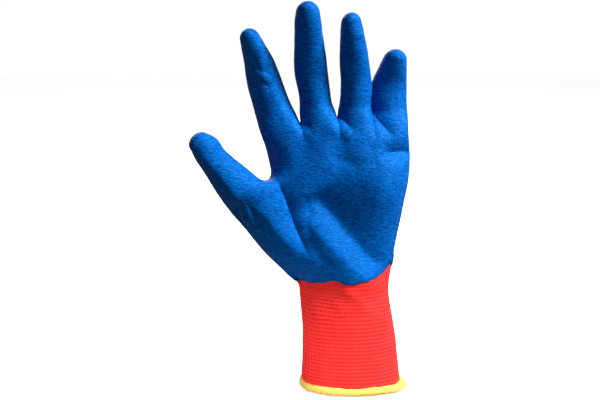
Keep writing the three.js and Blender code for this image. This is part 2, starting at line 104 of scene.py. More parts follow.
THUMB = {"tip": 5.8, "sections": [
    (-67.8, -15.0, 128.2, 13.6, 12.4), (-77.4, -18.5, 140.3, 11.2, 10.8), (-85.6, -21.5, 150.6, 9.2, 9.4),
    (-88.8, -22.9, 156.2, 9.1, 8.6), (-92.7, -24.2, 159.9, 7.0, 7.0)]}
THUMB_ROOT_RINGS = 3
THUMB_COLUMNS = (-3, 3)
THUMB_ROWS = (1, 7)

# Where the latex ends below the palm (x, z), from the thumb side to the little finger. It turns
# from there to its height on the back over part of the way round the side.
DIP_LINE = [(-38, 68.0), (-23, 69.8), (-11.5, 73.6), (-3.6, 70.6), (7, 72.4), (18.5, 77), (25.5, 85.5)]
DIP_BACK_Z = 76
DIP_TURN_START = 0.2
DIP_TURN_OVER = 0.5
DIP_ROWS = 3
DIP_ROW_FOLLOW = 0.8

# Folds of the palm side, each along a line (x, z) seen from the front and walked downwards or to
# the right: height (negative is a crease), how far it reaches on either side, and its roundness.
FOLDS = {
    "thumb_crest": (1.6, (9.0, 5.0), 0.8, [
        (-98, 162), (-94.6, 156.2), (-87, 149.4), (-79.8, 140), (-73.3, 131.4), (-69.3, 126.2), (-65, 119)]),
    "thumb_side": (-5.0, (11.0, 12.0), 5.0, [
        (-76, 126), (-68, 114), (-62, 106), (-54, 96), (-46, 87), (-40, 80), (-34, 72), (-30, 64)]),
    "notch_spur": (1.5, (1.6, 2.8), 0.4, [
        (-68.5, 128), (-66.6, 123.2), (-64.6, 118), (-62.4, 112.6), (-60, 107)]),
    "notch_valley": (-2.0, (8.0, 1.6), 0.5, [
        (-66, 126), (-63.6, 121), (-61.6, 116), (-58.8, 110), (-54.6, 101)]),
    "thenar_crest": (2.4, (14.0, 8.0), 0.7, [
        (-69, 126), (-65.6, 123), (-59.4, 119.4), (-51.9, 112.6), (-45.3, 103.4), (-39.6, 96.3),
        (-31.3, 90)]),
    "thenar_crease": (-3.6, (4.5, 3.4), 0.5, [
        (-47.5, 136), (-44.4, 128.7), (-40.2, 118.8), (-37.6, 110.2), (-33.3, 100.9), (-26.5, 87.5)]),
    "small_crease": (-0.6, (2.4, 1.8), 0.7, [(-31, 130), (-29.1, 124), (-28, 117.5), (-27.8, 108)]),
    "second_ridge": (1.9, (8.0, 5.0), 2.0, [
        (-28, 112), (-24.6, 106.8), (-18, 99.5), (-9.4, 90.5), (-0.8, 81.5), (8, 74), (16, 68)]),
    "palm_trough": (-7.4, (14.0, 8.0), 4.0, [
        (-26, 130), (-20, 122), (-10, 111), (-1.2, 99.5), (9.5, 87), (18, 80), (25, 76), (30, 74)]),
    "heel_groove": (-1.8, (4.0, 6.0), 2.0, [(-29, 112), (-26, 99), (-19.5, 86.8), (-9.5, 75), (-5, 66)]),
    "palm_crease": (-1.2, (4.0, 5.0), 1.2, [
        (-18, 154), (-8, 147.5), (1, 145), (10, 146), (19, 150), (26, 151.5)]),
    "side_crease": (-4.2, (6.5, 3.0), 1.2, [(14, 150), (21, 151.5), (29, 152), (38, 150)]),
    "web_index_ridge": (1.2, (3.2, 6.0), 1.6, [
        (-43, 174), (-37.5, 170.5), (-33.5, 166.5), (-29, 163), (-22, 159)]),
    "web_index_valley": (-2.6, (4.0, 2.4), 0.4, [
        (-36.5, 178), (-32.4, 171.4), (-30, 169), (-27, 167), (-22.5, 165.5)]),
    "web_middle_ridge": (1.6, (3.4, 6.0), 1.6, [
        (-20, 176), (-13, 171), (-8.5, 167), (-4, 163.6), (2, 160)]),
    "web_middle_valley": (-3.0, (4.5, 2.4), 0.4, [
        (-12.4, 181), (-7.6, 172.6), (-4, 168.5), (-1, 166), (2, 164.4)]),
    "web_ring_ridge": (1.6, (3.4, 6.0), 1.6, [(3, 180), (8, 173), (11.5, 167.5), (16, 162.6), (22, 158)]),
    "web_ring_valley": (-3.0, (4.5, 2.4), 0.4, [
        (10, 184), (12, 177), (14, 172), (17, 168), (21, 164), (26, 161)]),
    "index_crest": (1.3, (4.0, 5.5), 0.6, [
        (-60.5, 224), (-58.6, 219), (-56.4, 211), (-55.2, 200.1), (-51, 191.9), (-46.6, 183.6),
        (-43, 176), (-40, 169)]),
    "index_pinch": (1.0, (1.5, 1.5), 0.3, [(-58.6, 200), (-54.2, 197.4), (-49.5, 195.6)]),
    "index_pinch_above": (-0.9, (1.5, 1.5), 0.3, [(-59.2, 204), (-55.6, 201.6), (-50.5, 200.2)]),
    "index_pinch_below": (-1.0, (1.6, 1.5), 0.3, [(-56, 196), (-52.8, 193.4), (-50, 189.5)]),
    "index_fold": (-0.5, (1.8, 1.8), 0.4, [(-60, 213), (-58.4, 206), (-57.8, 200)]),
    "middle_crest": (1.5, (3.0, 7.0), 0.7, [
        (-24.6, 240), (-22.2, 229.7), (-20.8, 219.7), (-20, 209.6), (-19, 196)]),
    "ring_crest": (1.3, (3.0, 7.0), 0.7, [(1.4, 232), (4.3, 219.7), (6, 209.6), (7, 196)]),
    "little_crest": (1.0, (3.0, 6.0), 0.7, [(27.5, 213), (30.3, 205.2), (31.5, 192)]),
    "ring_bend": (-0.3, (1.8, 1.8), 0.9, [(-9, 219), (-2, 218.2), (6, 219.6)]),
    "ring_bend_low": (-0.25, (2.0, 2.0), 1.0, [(-9.5, 206), (0, 205), (9, 207)]),
    "middle_bend": (-0.3, (2.0, 2.0), 1.0, [(-37, 206), (-27, 204.6), (-17, 207)]),
    "thumb_notch": (-0.9, (1.6, 2.6), 0.5, [(-82, 163), (-79.6, 157.5), (-80.4, 151), (-84, 146)]),
    "wrist_fold_left": (0.8, (3.0, 4.0), 1.4, [(-27, 69), (-18, 63), (-10, 58), (-4, 50)]),
    "wrist_fold_middle": (0.9, (3.0, 4.0), 1.4, [(-13, 71), (-4, 66), (4, 61), (10, 54), (13, 46)]),
    "wrist_fold_right": (0.7, (3.0, 4.0), 1.4, [(8, 74), (14, 68), (18, 60)]),
}
# Broad swellings and hollows: centre (x, z), half width and height, and depth.
MOUNDS = {
    "little_side": ((18, 132), (15, 20), 4.0),
    "thenar_base": ((-38, 96), (15, 13), 2.2),
    "heel_left": ((-24, 66), (17, 13), -6.5),
    "side_hollow": ((27, 151.5), (8, 5), -1.6),
    "web_index": ((-33, 167), (5, 5), 1.5),
    "web_middle": ((-11, 167), (6, 5), 2.1),
    "web_ring": ((12.4, 163), (4.6, 6), 1.9),
}
# The relief grows from nothing above the cuff, and a fold fades out at its ends.
RELIEF_START = 30
RELIEF_OVER = 30
FOLD_TAPER = 9
FOLD_TAPER_SHARE = 0.45
# Slight unevenness of the dipped surface: bump length and height.
UNEVEN = [(14, 0.3), (5.5, 0.1)]


def smooth(t):
    u = np.clip(t, 0, 1)
    return u * u * (3 - 2 * u)


def lerp(a, b, t):
    return a + (b - a) * t


# The glove's outside as a coarse net. Each face keeps its corners, each corner's place in the
# knit (wale column, height along the tube), and whether it is cuff and whether it is coated.
net_points = []
net_faces = []


def add_point(x, y, z):
    net_points.append((float(x), float(y), float(z)))
    return len(net_points) - 1


def add_face(corners, stitches, is_cuff, is_coated):
    net_faces.append((corners, stitches, is_cuff, is_coated))


def hand_columns():
    """The columns round the hand.

    Each is (kind, side, finger or web, share across the finger, place across the hand)."""
    span = WEBS[-1][0] - WEBS[0][0]
    columns = []

    def add(kind, side, number, t, x):
        columns.append((kind, side, number, t, 2 * (x - WEBS[0][0]) / span - 1))

    def add_finger(finger, side):
        for i in range(1, FACE_VERTS + 1):
            t = i / (FACE_VERTS + 1)
            if side == "back":
                t = 1 - t
            add("face", side, finger, t, lerp(WEBS[finger][0], WEBS[finger + 1][0], t))

    last = len(WEBS) - 1
    add("web", "palm", 0, 0, WEBS[0][0])
    for finger in range(last):
        add_finger(finger, "palm")
        add("web", "palm", finger + 1, 0, WEBS[finger + 1][0])
    add("edge", "middle", last, 0, WEBS[last][0])
    add("web", "back", last, 0, WEBS[last][0])
    for finger in reversed(range(last)):
        add_finger(finger, "back")
        add("web", "back", finger, 0, WEBS[finger][0])
    add("edge", "middle", 0, 0, WEBS[0][0])
    return columns


COLUMNS = hand_columns()
COUNT = len(COLUMNS)
HAND_FIRST_ROW = len(CUFF_SECTIONS)


def section_point(section, column, inset):
    _, left, right, palm, back, power = section
    kind, side, _, _, across = column
    half_width = (right - left) / 2 - inset
    centre = (right + left) / 2
    middle = (palm + back) / 2
    if kind == "edge":
        return centre + across * half_width, middle
    across *= EDGE_ACROSS
    rise = (1 - abs(across) ** power) ** (1 / power)
    sign = -1 if side == "palm" else 1
    return centre + across * half_width, middle + sign * ((back - palm) / 2 - inset) * rise


def dip_height(x):
    if x <= DIP_LINE[0][0]:
        return DIP_LINE[0][1]
    for (low_x, low_z), (high_x, high_z) in zip(DIP_LINE, DIP_LINE[1:]):
        if x <= high_x:
            return lerp(low_z, high_z, smooth((x - low_x) / (high_x - low_x)))
    return DIP_LINE[-1][1]


def lay_rows():
    rows = []
    for section in CUFF_SECTIONS:
        rows.append([add_point(*section_point(section, column, 0), section[0]) for column in COLUMNS])
    for i, section in enumerate(HAND_SECTIONS):
        row = []
        for column in COLUMNS:
            x, y = section_point(section, column, COAT_OUTSIDE / 2 if i == 0 else COAT_OUTSIDE)
            to_palm = (section[4] - y) / (section[4] - section[3])
            dip = lerp(DIP_BACK_Z, dip_height(x), smooth((to_palm - DIP_TURN_START) / DIP_TURN_OVER))
            rise = (dip - HAND_SECTIONS[0][0]) * (1 - smooth(i / DIP_ROWS))
            row.append(add_point(x, y, section[0] + rise * (1 if i == 0 else DIP_ROW_FOLLOW)))
        rows.append(row)
    return rows


def lay_finger_line():
    line = []
    for kind, side, number, t, across in COLUMNS:
        x, y, z = WEBS[number]
        outward = math.copysign(1, across)
        sign = -1 if side == "palm" else 1
        if kind == "edge":
            line.append(add_point(x - outward * COAT_OUTSIDE, y, z))
        elif kind == "web":
            inset = outward * OUTER_WEB_INSET if number in (0, len(WEBS) - 1) else 0
            line.append(add_point(x - inset, y + sign * WEB_DEPTH[side], z - WEB_DROP[side]))
        else:
            x, y, z = (lerp(low, high, t) for low, high in zip(WEBS[number], WEBS[number + 1]))
            bow = math.sin(t * math.pi)
            shoulder = WEB_DEPTH[side] + WEB_SHOULDER
            depth = lerp(shoulder, STALL_BASE_DEPTH - COAT_OUTSIDE, bow ** STALL_BASE_FULLNESS)
            drop = WEB_DROP[side] + STALL_BASE_DROP * bow
            line.append(add_point(x, y + sign * depth, z - drop))
    return line


def unit(v):
    return v / np.linalg.norm(v)


def across_at(sections, i):
    before = sections[max(i - 1, 0)]
    after = sections[min(i + 1, len(sections) - 1)]
    return unit(np.array([after[2] - before[2], 0, before[0] - after[0]]))


def stall_ring(centre, half_width, half_depth, across, angles):
    wide = across[None, :] * half_width * np.cos(angles)[:, None]
    deep = np.array([0, -1, 0])[None, :] * half_depth * np.sin(angles)[:, None]
    return np.asarray(centre)[None, :] + wide + deep


def lay_stall(base, wales, stall, angles, root_rings, root_ease):
    """A stall's rings beyond its base, its rounded tip and the point that closes it."""
    sections = stall["sections"]
    base_points = np.array([net_points[i] for i in base])
    shapes = []
    for i, section in enumerate(sections):
        sizes = [half - COAT_OUTSIDE for half in section[3:]]
        shapes.append(stall_ring(section[:3], *sizes, across_at(sections, i), angles))
    roots = []
    for i in range(1, root_rings + 1):
        roots.append(lerp(base_points, shapes[0], (i / (root_rings + 1)) ** root_ease))
    run = unit(np.array(sections[-1][:3]) - np.array(sections[-2][:3]))
    reach = stall["tip"] - COAT_OUTSIDE
    end = np.array(sections[-1][:3])
    tips = []
    for degrees in TIP_RING_ANGLES:
        turn = math.radians(degrees)
        sizes = [(half - COAT_OUTSIDE) * math.cos(turn) for half in sections[-1][3:]]
        centre = end + run * reach * math.sin(turn)
        tips.append(stall_ring(centre, *sizes, across_at(sections, len(sections) - 1), angles))
    shapes = roots + shapes + tips
    rings = [base] + [[add_point(*point) for point in shape] for shape in shapes]
    centres = [base_points.mean(0)] + [shape.mean(0) for shape in shapes]
    lengths = np.cumsum([0] + [np.linalg.norm(b - a) for a, b in zip(centres, centres[1:])])
    heights = [base_points[:, 2]] + [np.full(len(base), centres[0][2] + length) for length in lengths[1:]]
    dipped_all_round = root_rings + len(sections) - 1
    count = len(base)
    for r in range(len(rings) - 1):
        for k in range(count):
            nxt = (k + 1) % count
            facing = (math.sin(angles[k]) + math.sin(angles[nxt])) / 2
            corners = (rings[r][k], rings[r][nxt], rings[r + 1][nxt], rings[r + 1][k])
            wale, next_wale = wales[k], wales[k] + 1
            stitches = (
                (wale, heights[r][k]), (next_wale, heights[r][nxt]),
                (next_wale, heights[r + 1][nxt]), (wale, heights[r + 1][k]))
            add_face(corners, stitches, False, r >= dipped_all_round or facing > -BARE_BACK)
    pole = add_point(*(end + run * reach))
    for k in range(count):
        corners = (rings[-1][k], rings[-1][(k + 1) % count], pole)
        height = heights[-1][k]
        add_face(corners, ((wales[k], height), (wales[k] + 1, height), (wales[k], height + 2)), False, True)


def lay_fingers(line):
    def find(kind, number, side):
        return next(i for i, c in enumerate(COLUMNS) if c[:3] == (kind, side, number))

    edge = next(i for i, c in enumerate(COLUMNS) if c[0] == "edge")
    middles = [line[-1]] + [add_point(*web) for web in WEBS[1:-1]] + [line[edge]]
    start = math.pi * (1 - 2 / FINGER_SIDES)
    angles = start - np.arange(FINGER_SIDES) * 2 * math.pi / FINGER_SIDES
    for finger, stall in enumerate(FINGERS):
        palm = find("web", finger, "palm")
        back = find("web", finger + 1, "back")
        span = FACE_VERTS + 2
        base = [line[palm + i] for i in range(span)] + [middles[finger + 1]]
        base += [line[back + i] for i in range(span)] + [middles[finger]]
        wales = [palm + i for i in range(span + 1)] + [back + i for i in range(span + 1)]
        lay_stall(base, wales, stall, angles, 1, ROOT_EASE)


def in_thumb_hole(row, column):
    shifted = (column - THUMB_COLUMNS[0]) % COUNT
    in_rows = THUMB_ROWS[0] <= row - HAND_FIRST_ROW < THUMB_ROWS[1]
    return in_rows and shifted < THUMB_COLUMNS[1] - THUMB_COLUMNS[0]


def lay_hand(rows):
    back = [i for i, column in enumerate(COLUMNS) if column[1] == "back"]
    for r in range(len(rows) - 1):
        for k in range(COUNT):
            if in_thumb_hole(r, k):
                continue
            nxt = (k + 1) % COUNT
            corners = (rows[r][k], rows[r][nxt], rows[r + 1][nxt], rows[r + 1][k])
            places = zip((k, k + 1, k + 1, k), corners)
            stitches = tuple((wale, net_points[corner][2]) for wale, corner in places)
            is_back = back[0] <= k < back[-1]
            add_face(corners, stitches, r < HAND_FIRST_ROW - 1, r >= HAND_FIRST_ROW and not is_back)


def lay_thumb(rows):
    low, high = (HAND_FIRST_ROW + row for row in THUMB_ROWS)
    first, last = THUMB_COLUMNS
    base = [rows[r][first % COUNT] for r in range(low, high)]
    base += [rows[high][c % COUNT] for c in range(first, last)]
    base += [rows[r][last % COUNT] for r in range(high, low, -1)]
    base += [rows[low][c % COUNT] for c in range(last, first, -1)]
    base.reverse()
    points = np.array([net_points[i] for i in base])
    centre = (points.min(0) + points.max(0)) / 2
    size = points.max(0) - points.min(0)
    angles = np.arctan2((centre[1] - points[:, 1]) / size[1], (points[:, 2] - centre[2]) / size[2])
    lay_stall(base, list(range(len(base))), THUMB, angles, THUMB_ROOT_RINGS, 1)
    return base


# Subdivision. A mesh is flat arrays over its corners: vertex, face, next and previous corner,
# and place in the knit. Each corner gives one face of the next level.
def start_mesh():
    corners, faces, following, before, stitches = [], [], [], [], []
    for number, (face, places, _, _) in enumerate(net_faces):
        first = len(corners)
        size = len(face)
        corners += face
        stitches += places
        faces += [number] * size
        following += [first + (i + 1) % size for i in range(size)]
        before += [first + (i - 1) % size for i in range(size)]
    return {
        "corner": np.array(corners), "face": np.array(faces), "next": np.array(following),
        "before": np.array(before), "stitch": np.array(stitches, float), "count": len(net_points),
        "cuff": np.array([face[2] for face in net_faces]),
        "coated": np.array([face[3] for face in net_faces])}


def total(values, index, size):
    out = np.zeros((size, values.shape[1]))
    for axis in range(values.shape[1]):
        out[:, axis] = np.bincount(index, values[:, axis], size)
    return out


def find_edges(mesh):
    a = mesh["corner"]
    b = a[mesh["next"]]
    keys = np.minimum(a, b) * mesh["count"] + np.maximum(a, b)
    edges, edge_of = np.unique(keys, return_inverse=True)
    mesh["edge"] = edge_of
    mesh["ends"] = np.stack([edges // mesh["count"], edges % mesh["count"]], 1)


def finer_mesh(mesh):
    """The next level's arrays, without its points."""
    find_edges(mesh)
    count, edge_count = mesh["count"], len(mesh["ends"])
    face_count = len(mesh["cuff"])
    corner, face, edge = mesh["corner"], mesh["face"], mesh["edge"]
    quads = np.stack([corner, count + edge, count + edge_count + face, count + edge[mesh["before"]]], 1)
    stitch = mesh["stitch"]
    sizes = np.bincount(face)[:, None]
    middle = (total(stitch, face, face_count) / sizes)[face]
    after = (stitch + stitch[mesh["next"]]) / 2
    before = (stitch + stitch[mesh["before"]]) / 2
    first = np.arange(len(corner))[:, None] * 4
    turn = np.arange(4)[None, :]
    return {
        "corner": quads.ravel(), "face": np.repeat(np.arange(len(corner)), 4),
        "next": (first + (turn + 1) % 4).ravel(), "before": (first + (turn - 1) % 4).ravel(),
        "stitch": np.stack([stitch, after, middle, before], 1).reshape(-1, 2),
        "count": count + edge_count + face_count, "cuff": mesh["cuff"][face], "coated": mesh["coated"][face]}


def finer_points(mesh, points):
    """Catmull-Clark: the next level's points."""
    corner, face, edge, ends = mesh["corner"], mesh["face"], mesh["edge"], mesh["ends"]
    count = len(points)
    centres = total(points[corner], face, len(mesh["cuff"])) / np.bincount(face)[:, None]
    middles = points[ends].mean(1)
    sides = np.bincount(edge, minlength=len(ends))[:, None]
    inner_edges = (2 * middles + total(centres[face], edge, len(ends))) / 4
    edge_points = np.where(sides == 2, inner_edges, middles)
    valence = np.maximum(np.bincount(corner, minlength=count), 1)[:, None]
    face_mean = total(centres[face], corner, count) / valence
    flat = ends.ravel()
    both = middles.repeat(2, 0)
    edge_mean = total(both, flat, count) / np.maximum(np.bincount(flat, minlength=count), 1)[:, None]
    weight = np.where(sides == 2, 0, 1.0).repeat(2, 0)
    on_rim = total(weight, flat, count)
    rim_mean = total(both * weight, flat, count) / np.maximum(on_rim, 1)
    inner = (face_mean + 2 * edge_mean + (valence - 3) * points) / valence
    moved = np.where(on_rim > 0, (points + rim_mean) / 2, inner)
    return np.concatenate([moved, edge_points, centres])


def point_normals(mesh, points):
    quads = points[mesh["corner"].reshape(-1, 4)]
    faces = np.cross(quads[:, 2] - quads[:, 0], quads[:, 3] - quads[:, 1])
    normals = total(faces.repeat(4, 0), mesh["corner"], len(points))
    return normals / np.maximum(np.linalg.norm(normals, axis=1), 1e-9)[:, None]


rows = lay_rows()
rows.append(lay_finger_line())
lay_hand(rows)
lay_fingers(rows[-1])
thumb_base = lay_thumb(rows)
crotch_row = rows[HAND_FIRST_ROW + THUMB_ROWS[1]]
crotch = [crotch_row[column % COUNT] for column in range(THUMB_COLUMNS[0], THUMB_COLUMNS[1] + 1)]

LEVELS = 3
FIT_ROUNDS = 3
levels = [start_mesh()]
for _ in range(LEVELS):
    levels.append(finer_mesh(levels[-1]))

# The net's corners are moved out until the smooth surface passes through the table's sections.
targets = np.array(net_points)
cage = targets.copy()
for _ in range(FIT_ROUNDS):
    reached = finer_points(levels[1], finer_points(levels[0], cage))
    cage += targets - reached[:len(cage)]
surface = cage
for mesh in levels[:-2]:
    surface = finer_points(mesh, surface)
COARSE, FINE = levels[-2], levels[-1]


def sampled(loop, each):
    """Points along a closed loop of the net's corners."""
    ends = targets[loop]
    return np.concatenate([lerp(ends, np.roll(ends, -1, 0), i / each) for i in range(each)])


def distance_to(points, curve):
    """How far each point is from the nearest point of a curve."""
    finder = kdtree.KDTree(len(curve))
    for number, place in enumerate(curve):
        finder.insert(place, number)
    finder.balance()
    return np.array([finder.find(p)[2] for p in points.tolist()])


def falloff(distance, reach):
    """1 at no distance, falling to 0 well beyond the reach."""
    return np.exp(-((distance / reach) ** 2))


def eased(points, mesh, curve, ease, share=1):
    """The surface smoothed near a curve. Ease is how far from it and in how many rounds."""
    reach, rounds = ease
    mask = (falloff(distance_to(points, curve), reach) * share)[:, None]
    flat = mesh["ends"].ravel()
    others = mesh["ends"][:, ::-1].ravel()
    degree = np.maximum(np.bincount(flat, minlength=len(points)), 1)[:, None]
    for _ in range(rounds):
        mean = total(points[others], flat, len(points)) / degree
        points = lerp(points, mean, mask)
    return points


def palm_side(normals):
    """1 where the surface faces the palm's side, 0 at the hand's edges and on its back."""
    return smooth(-PALM_SLOPE * normals[:, 1] - PALM_START)


# The thumb's root, the stalls' bases, the webs and the dipped edge are eased into the palm.
THUMB_EASE = (9, 40)
CROTCH_EASE = (8, 70)
LINE_EASE = (5, 6)
WEB_EASE = (7, 24)
DIP_EASE = (4, 5)
FOOT_EASE = (5.5, 60)
FOOT_LINE_EASE = (2.6, 16)
WEB_FOOT = 17
WEB_FOOT_STEPS = 8
PALM_SLOPE = 1.8
PALM_START = 0.5
FACING_SLOPE = 1.6
FACING_START = 0.05

surface = eased(surface, COARSE, sampled(thumb_base, 6), THUMB_EASE)
surface = eased(surface, COARSE, sampled(crotch, 6), CROTCH_EASE)
finger_line = sampled(rows[-1], 4)
surface = eased(surface, COARSE, finger_line, LINE_EASE)
to_palm = palm_side(point_normals(COARSE, surface))
surface = eased(surface, COARSE, finger_line, WEB_EASE, to_palm)
surface = eased(surface, COARSE, sampled(rows[HAND_FIRST_ROW], 4), DIP_EASE)
web_feet = []
for x, y, z in WEBS[1:-1]:
    low = np.array([x, HAND_SECTIONS[-1][3], z - WEB_FOOT])
    high = np.array([x, y - WEB_DEPTH["palm"], z])
    web_feet += [lerp(low, high, i / WEB_FOOT_STEPS) for i in range(WEB_FOOT_STEPS + 1)]
surface = eased(surface, COARSE, web_feet, FOOT_EASE, to_palm)
surface = finer_points(COARSE, surface)


def fold_relief(x, z, height, reaches, roundness, line):
    """A fold's height over places on the front view, fading out at both ends of its line."""
    nearest = np.full(len(x), np.inf)
    along = np.zeros(len(x))
    side = np.zeros(len(x))
    length = 0
    for (ax, az), (bx, bz) in zip(line, line[1:]):
        dx, dz = bx - ax, bz - az
        step = math.hypot(dx, dz)
        t = np.clip(((x - ax) * dx + (z - az) * dz) / step ** 2, 0, 1)
        distance = np.hypot(x - ax - t * dx, z - az - t * dz)
        closer = distance < nearest
        nearest = np.where(closer, distance, nearest)
        along = np.where(closer, length + t * step, along)
        side = np.where(closer, (dx * (z - az) - dz * (x - ax)) / step, side)
        length += step
    reach = lerp(reaches[1], reaches[0], 0.5 + 0.5 * np.tanh(side))
    fade = min(FOLD_TAPER, FOLD_TAPER_SHARE * length)
    taper = smooth(along / fade) * smooth((length - along) / fade)
    return height * taper * np.exp((roundness - np.hypot(nearest, roundness)) / reach)


def palm_relief(x, z):
    relief = np.zeros(len(x))
    for (mid_x, mid_z), (half_width, half_height), depth in MOUNDS.values():
        relief += depth * np.exp(-(((x - mid_x) / half_width) ** 2) - ((z - mid_z) / half_height) ** 2)
    for fold in FOLDS.values():
        relief += fold_relief(x, z, *fold)
    return relief


def noise_at(points, pitch, seed):
    """Smooth noise from about -1 to 1 at each point, with bumps about pitch millimetres long."""
    scaled = points / pitch + seed
    return np.array([noise.noise(Vector(p)) for p in scaled.tolist()])


normals = point_normals(FINE, surface)
facing = smooth(FACING_START - FACING_SLOPE * normals[:, 1])
above_cuff = smooth((surface[:, 2] - RELIEF_START) / RELIEF_OVER)
forward = palm_relief(surface[:, 0], surface[:, 2]) * facing * above_cuff
bumps = np.zeros(len(surface))
for pitch, height in UNEVEN:
    bumps += height * noise_at(surface, pitch, pitch) * smooth(surface[:, 2] / RELIEF_START)
surface += normals * bumps[:, None]
surface[:, 1] -= forward
find_edges(FINE)
surface = eased(surface, FINE, web_feet, FOOT_LINE_EASE, palm_side(normals))
normals = point_normals(FINE, surface)


# Pieces are built from the level-2 and level-3 faces, which share their points.
def coarse_faces(keep, split, inside=False):
    """Level-2 faces as polygons, with a point in the middle of each edge that split marks.

    Inside faces are turned round, and use the points of the inner sheet."""
    polygons, stitches = [], []
    corner = COARSE["corner"].tolist()
    edge = COARSE["edge"].tolist()
    stitch = COARSE["stitch"]
    for face in np.flatnonzero(keep):
        polygon, places = [], []
        for i in range(4):
            at = 4 * face + i
            following = 4 * face + (i + 1) % 4
            polygon.append(corner[at])
            places.append(tuple(stitch[at]))
            if split[edge[at]]:
                polygon.append(COARSE["count"] + edge[at])
                places.append(tuple((stitch[at] + stitch[following]) / 2))
        if inside:
            polygon = [len(surface) + index for index in reversed(polygon)]
            places.reverse()
        polygons.append(polygon)
        stitches.append(places)
    return polygons, stitches


def fine_faces(keep):
    chosen = keep[COARSE["face"]]
    quads = FINE["corner"].reshape(-1, 4)[chosen]
    stitches = FINE["stitch"].reshape(-1, 4, 2)[chosen]
    return quads.tolist(), stitches.tolist()


def edges_of(keep):
    """How many of the kept level-2 faces each edge has."""
    return np.bincount(COARSE["edge"][keep[COARSE["face"]]], minlength=len(COARSE["ends"]))


def rim_steps(keep):
    """The directed level-3 edges along the rim of the kept faces."""
    counts = edges_of(keep)
    steps = []
    for at in np.flatnonzero(keep[COARSE["face"]] & (counts[COARSE["edge"]] == 1)):
        a = COARSE["corner"][at]
        b = COARSE["corner"][COARSE["next"][at]]
        middle = COARSE["count"] + COARSE["edge"][at]
        steps += [(a, middle), (middle, b)]
    return steps


def add_object(name, data):
    obj = bpy.data.objects.new(name, data)
    bpy.context.scene.collection.objects.link(obj)
    return obj


def joined(*parts):
    """The polygons and the stitches of several parts of a mesh."""
    polygons = [polygon for part in parts for polygon in part[0]]
    stitches = [places for part in parts for places in part[1]]
    return polygons, stitches


def plain_faces(polygons):
    """Four-sided polygons that have no place in the knit."""
    return polygons, [[(0, 0)] * 4] * len(polygons)


def make_object(name, points, polygons, stitches, material, marks=None, apart=0):
    """A mesh object of these polygons, the last few with points of their own, so that they shade apart."""
    flat = np.array([index for polygon in polygons for index in polygon])
    sizes = [len(polygon) for polygon in polygons]
    shared = sum(sizes[:len(sizes) - apart])
    flat[shared:] += len(points)
    points = np.concatenate([points, points])
    used, compact = np.unique(flat, return_inverse=True)
    starts = np.cumsum([0] + sizes[:-1])
    mesh = bpy.data.meshes.new(name)
    mesh.vertices.add(len(used))
    mesh.vertices.foreach_set("co", (points[used] * MM).ravel())
    mesh.loops.add(len(flat))
    mesh.loops.foreach_set("vertex_index", compact.astype(np.int32))
    mesh.polygons.add(len(sizes))
    mesh.polygons.foreach_set("loop_start", starts.astype(np.int32))
    mesh.update(calc_edges=True)
    mesh.shade_smooth()
    layer = mesh.uv_layers.new(name="stitch")
    layer.uv.foreach_set("vector", np.array([c for places in stitches for c in places]).ravel())
    for title, values in (marks or {}).items():
        attribute = mesh.attributes.new(title, "FLOAT", "POINT")
        attribute.data.foreach_set("value", np.tile(values, 2)[used])
    mesh.materials.append(material)
    return add_object(name, mesh)


def rolled_rim(points, directions, steps, size, outside, inside, turns):
    """Joins an outer and an inner sheet round their rim with a rounded edge.

    Returns the new points and the faces. A point's place in the inner sheet is size further on."""
    middle = (outside + inside) / 2
    half = (outside - inside) / 2
    outward = np.zeros_like(points)
    for a, b in steps:
        side = np.cross(points[b] - points[a], directions[a] + directions[b])
        outward[a] += side
        outward[b] += side
    order = {}
    made = []
    for vertex in dict.fromkeys(index for step in steps for index in step):
        order[vertex] = 2 * size + len(made)
        out = unit(outward[vertex])
        for turn in range(1, turns):
            angle = math.pi * (0.5 - turn / turns)
            along = directions[vertex] * (middle + half * math.sin(angle))
            made.append(points[vertex] + along + out * half * math.cos(angle))
    faces = []
    for a, b in steps:
        def column(vertex):
            first = order[vertex]
            return [vertex] + list(range(first, first + turns - 1)) + [size + vertex]

        left, right = column(a), column(b)
        for i in range(turns):
            faces.append([left[i + 1], right[i + 1], right[i], left[i]])
    return np.array(made), faces


# Materials. Patterns are scaled in millimetres, by place on the glove or by place in the knit.
def new_material(name, roughness, specular):
    material = bpy.data.materials.new(name)
    material.use_nodes = True
    shader = material.node_tree.nodes["Principled BSDF"]
    shader.inputs["Roughness"].default_value = roughness
    shader.inputs["Specular IOR Level"].default_value = specular
    return material, material.node_tree, shader


def connect(tree, value, socket):
    """Puts a number, a tuple or another node's output into a socket."""
    if isinstance(value, bpy.types.NodeSocket):
        tree.links.new(value, socket)
    else:
        socket.default_value = value


def calc(tree, operation, *values):
    node = tree.nodes.new("ShaderNodeMath")
    node.operation = operation
    for value, socket in zip(values, node.inputs):
        connect(tree, value, socket)
    return node.outputs[0]


def times(tree, a, b):
    return calc(tree, "MULTIPLY", a, b)


def plus(tree, a, b):
    return calc(tree, "ADD", a, b)


def place_of(tree, stretch=(1, 1, 1)):
    """The place on the glove in millimetres, stretched along some axes."""
    where = tree.nodes.new("ShaderNodeTexCoord").outputs["Object"]
    mapping = tree.nodes.new("ShaderNodeMapping")
    mapping.inputs["Scale"].default_value = [1 / MM / part for part in stretch]
    tree.links.new(where, mapping.inputs["Vector"])
    return mapping.outputs["Vector"]


def grain(tree, place, pitch, detail=2.0, roughness=0.5, distortion=0.0):
    """Noise from 0 to 1 with bumps about pitch millimetres long."""
    node = tree.nodes.new("ShaderNodeTexNoise")
    node.inputs["Scale"].default_value = 1 / pitch
    node.inputs["Detail"].default_value = detail
    node.inputs["Roughness"].default_value = roughness
    node.inputs["Distortion"].default_value = distortion
    tree.links.new(place, node.inputs["Vector"])
    return node.outputs["Fac"]


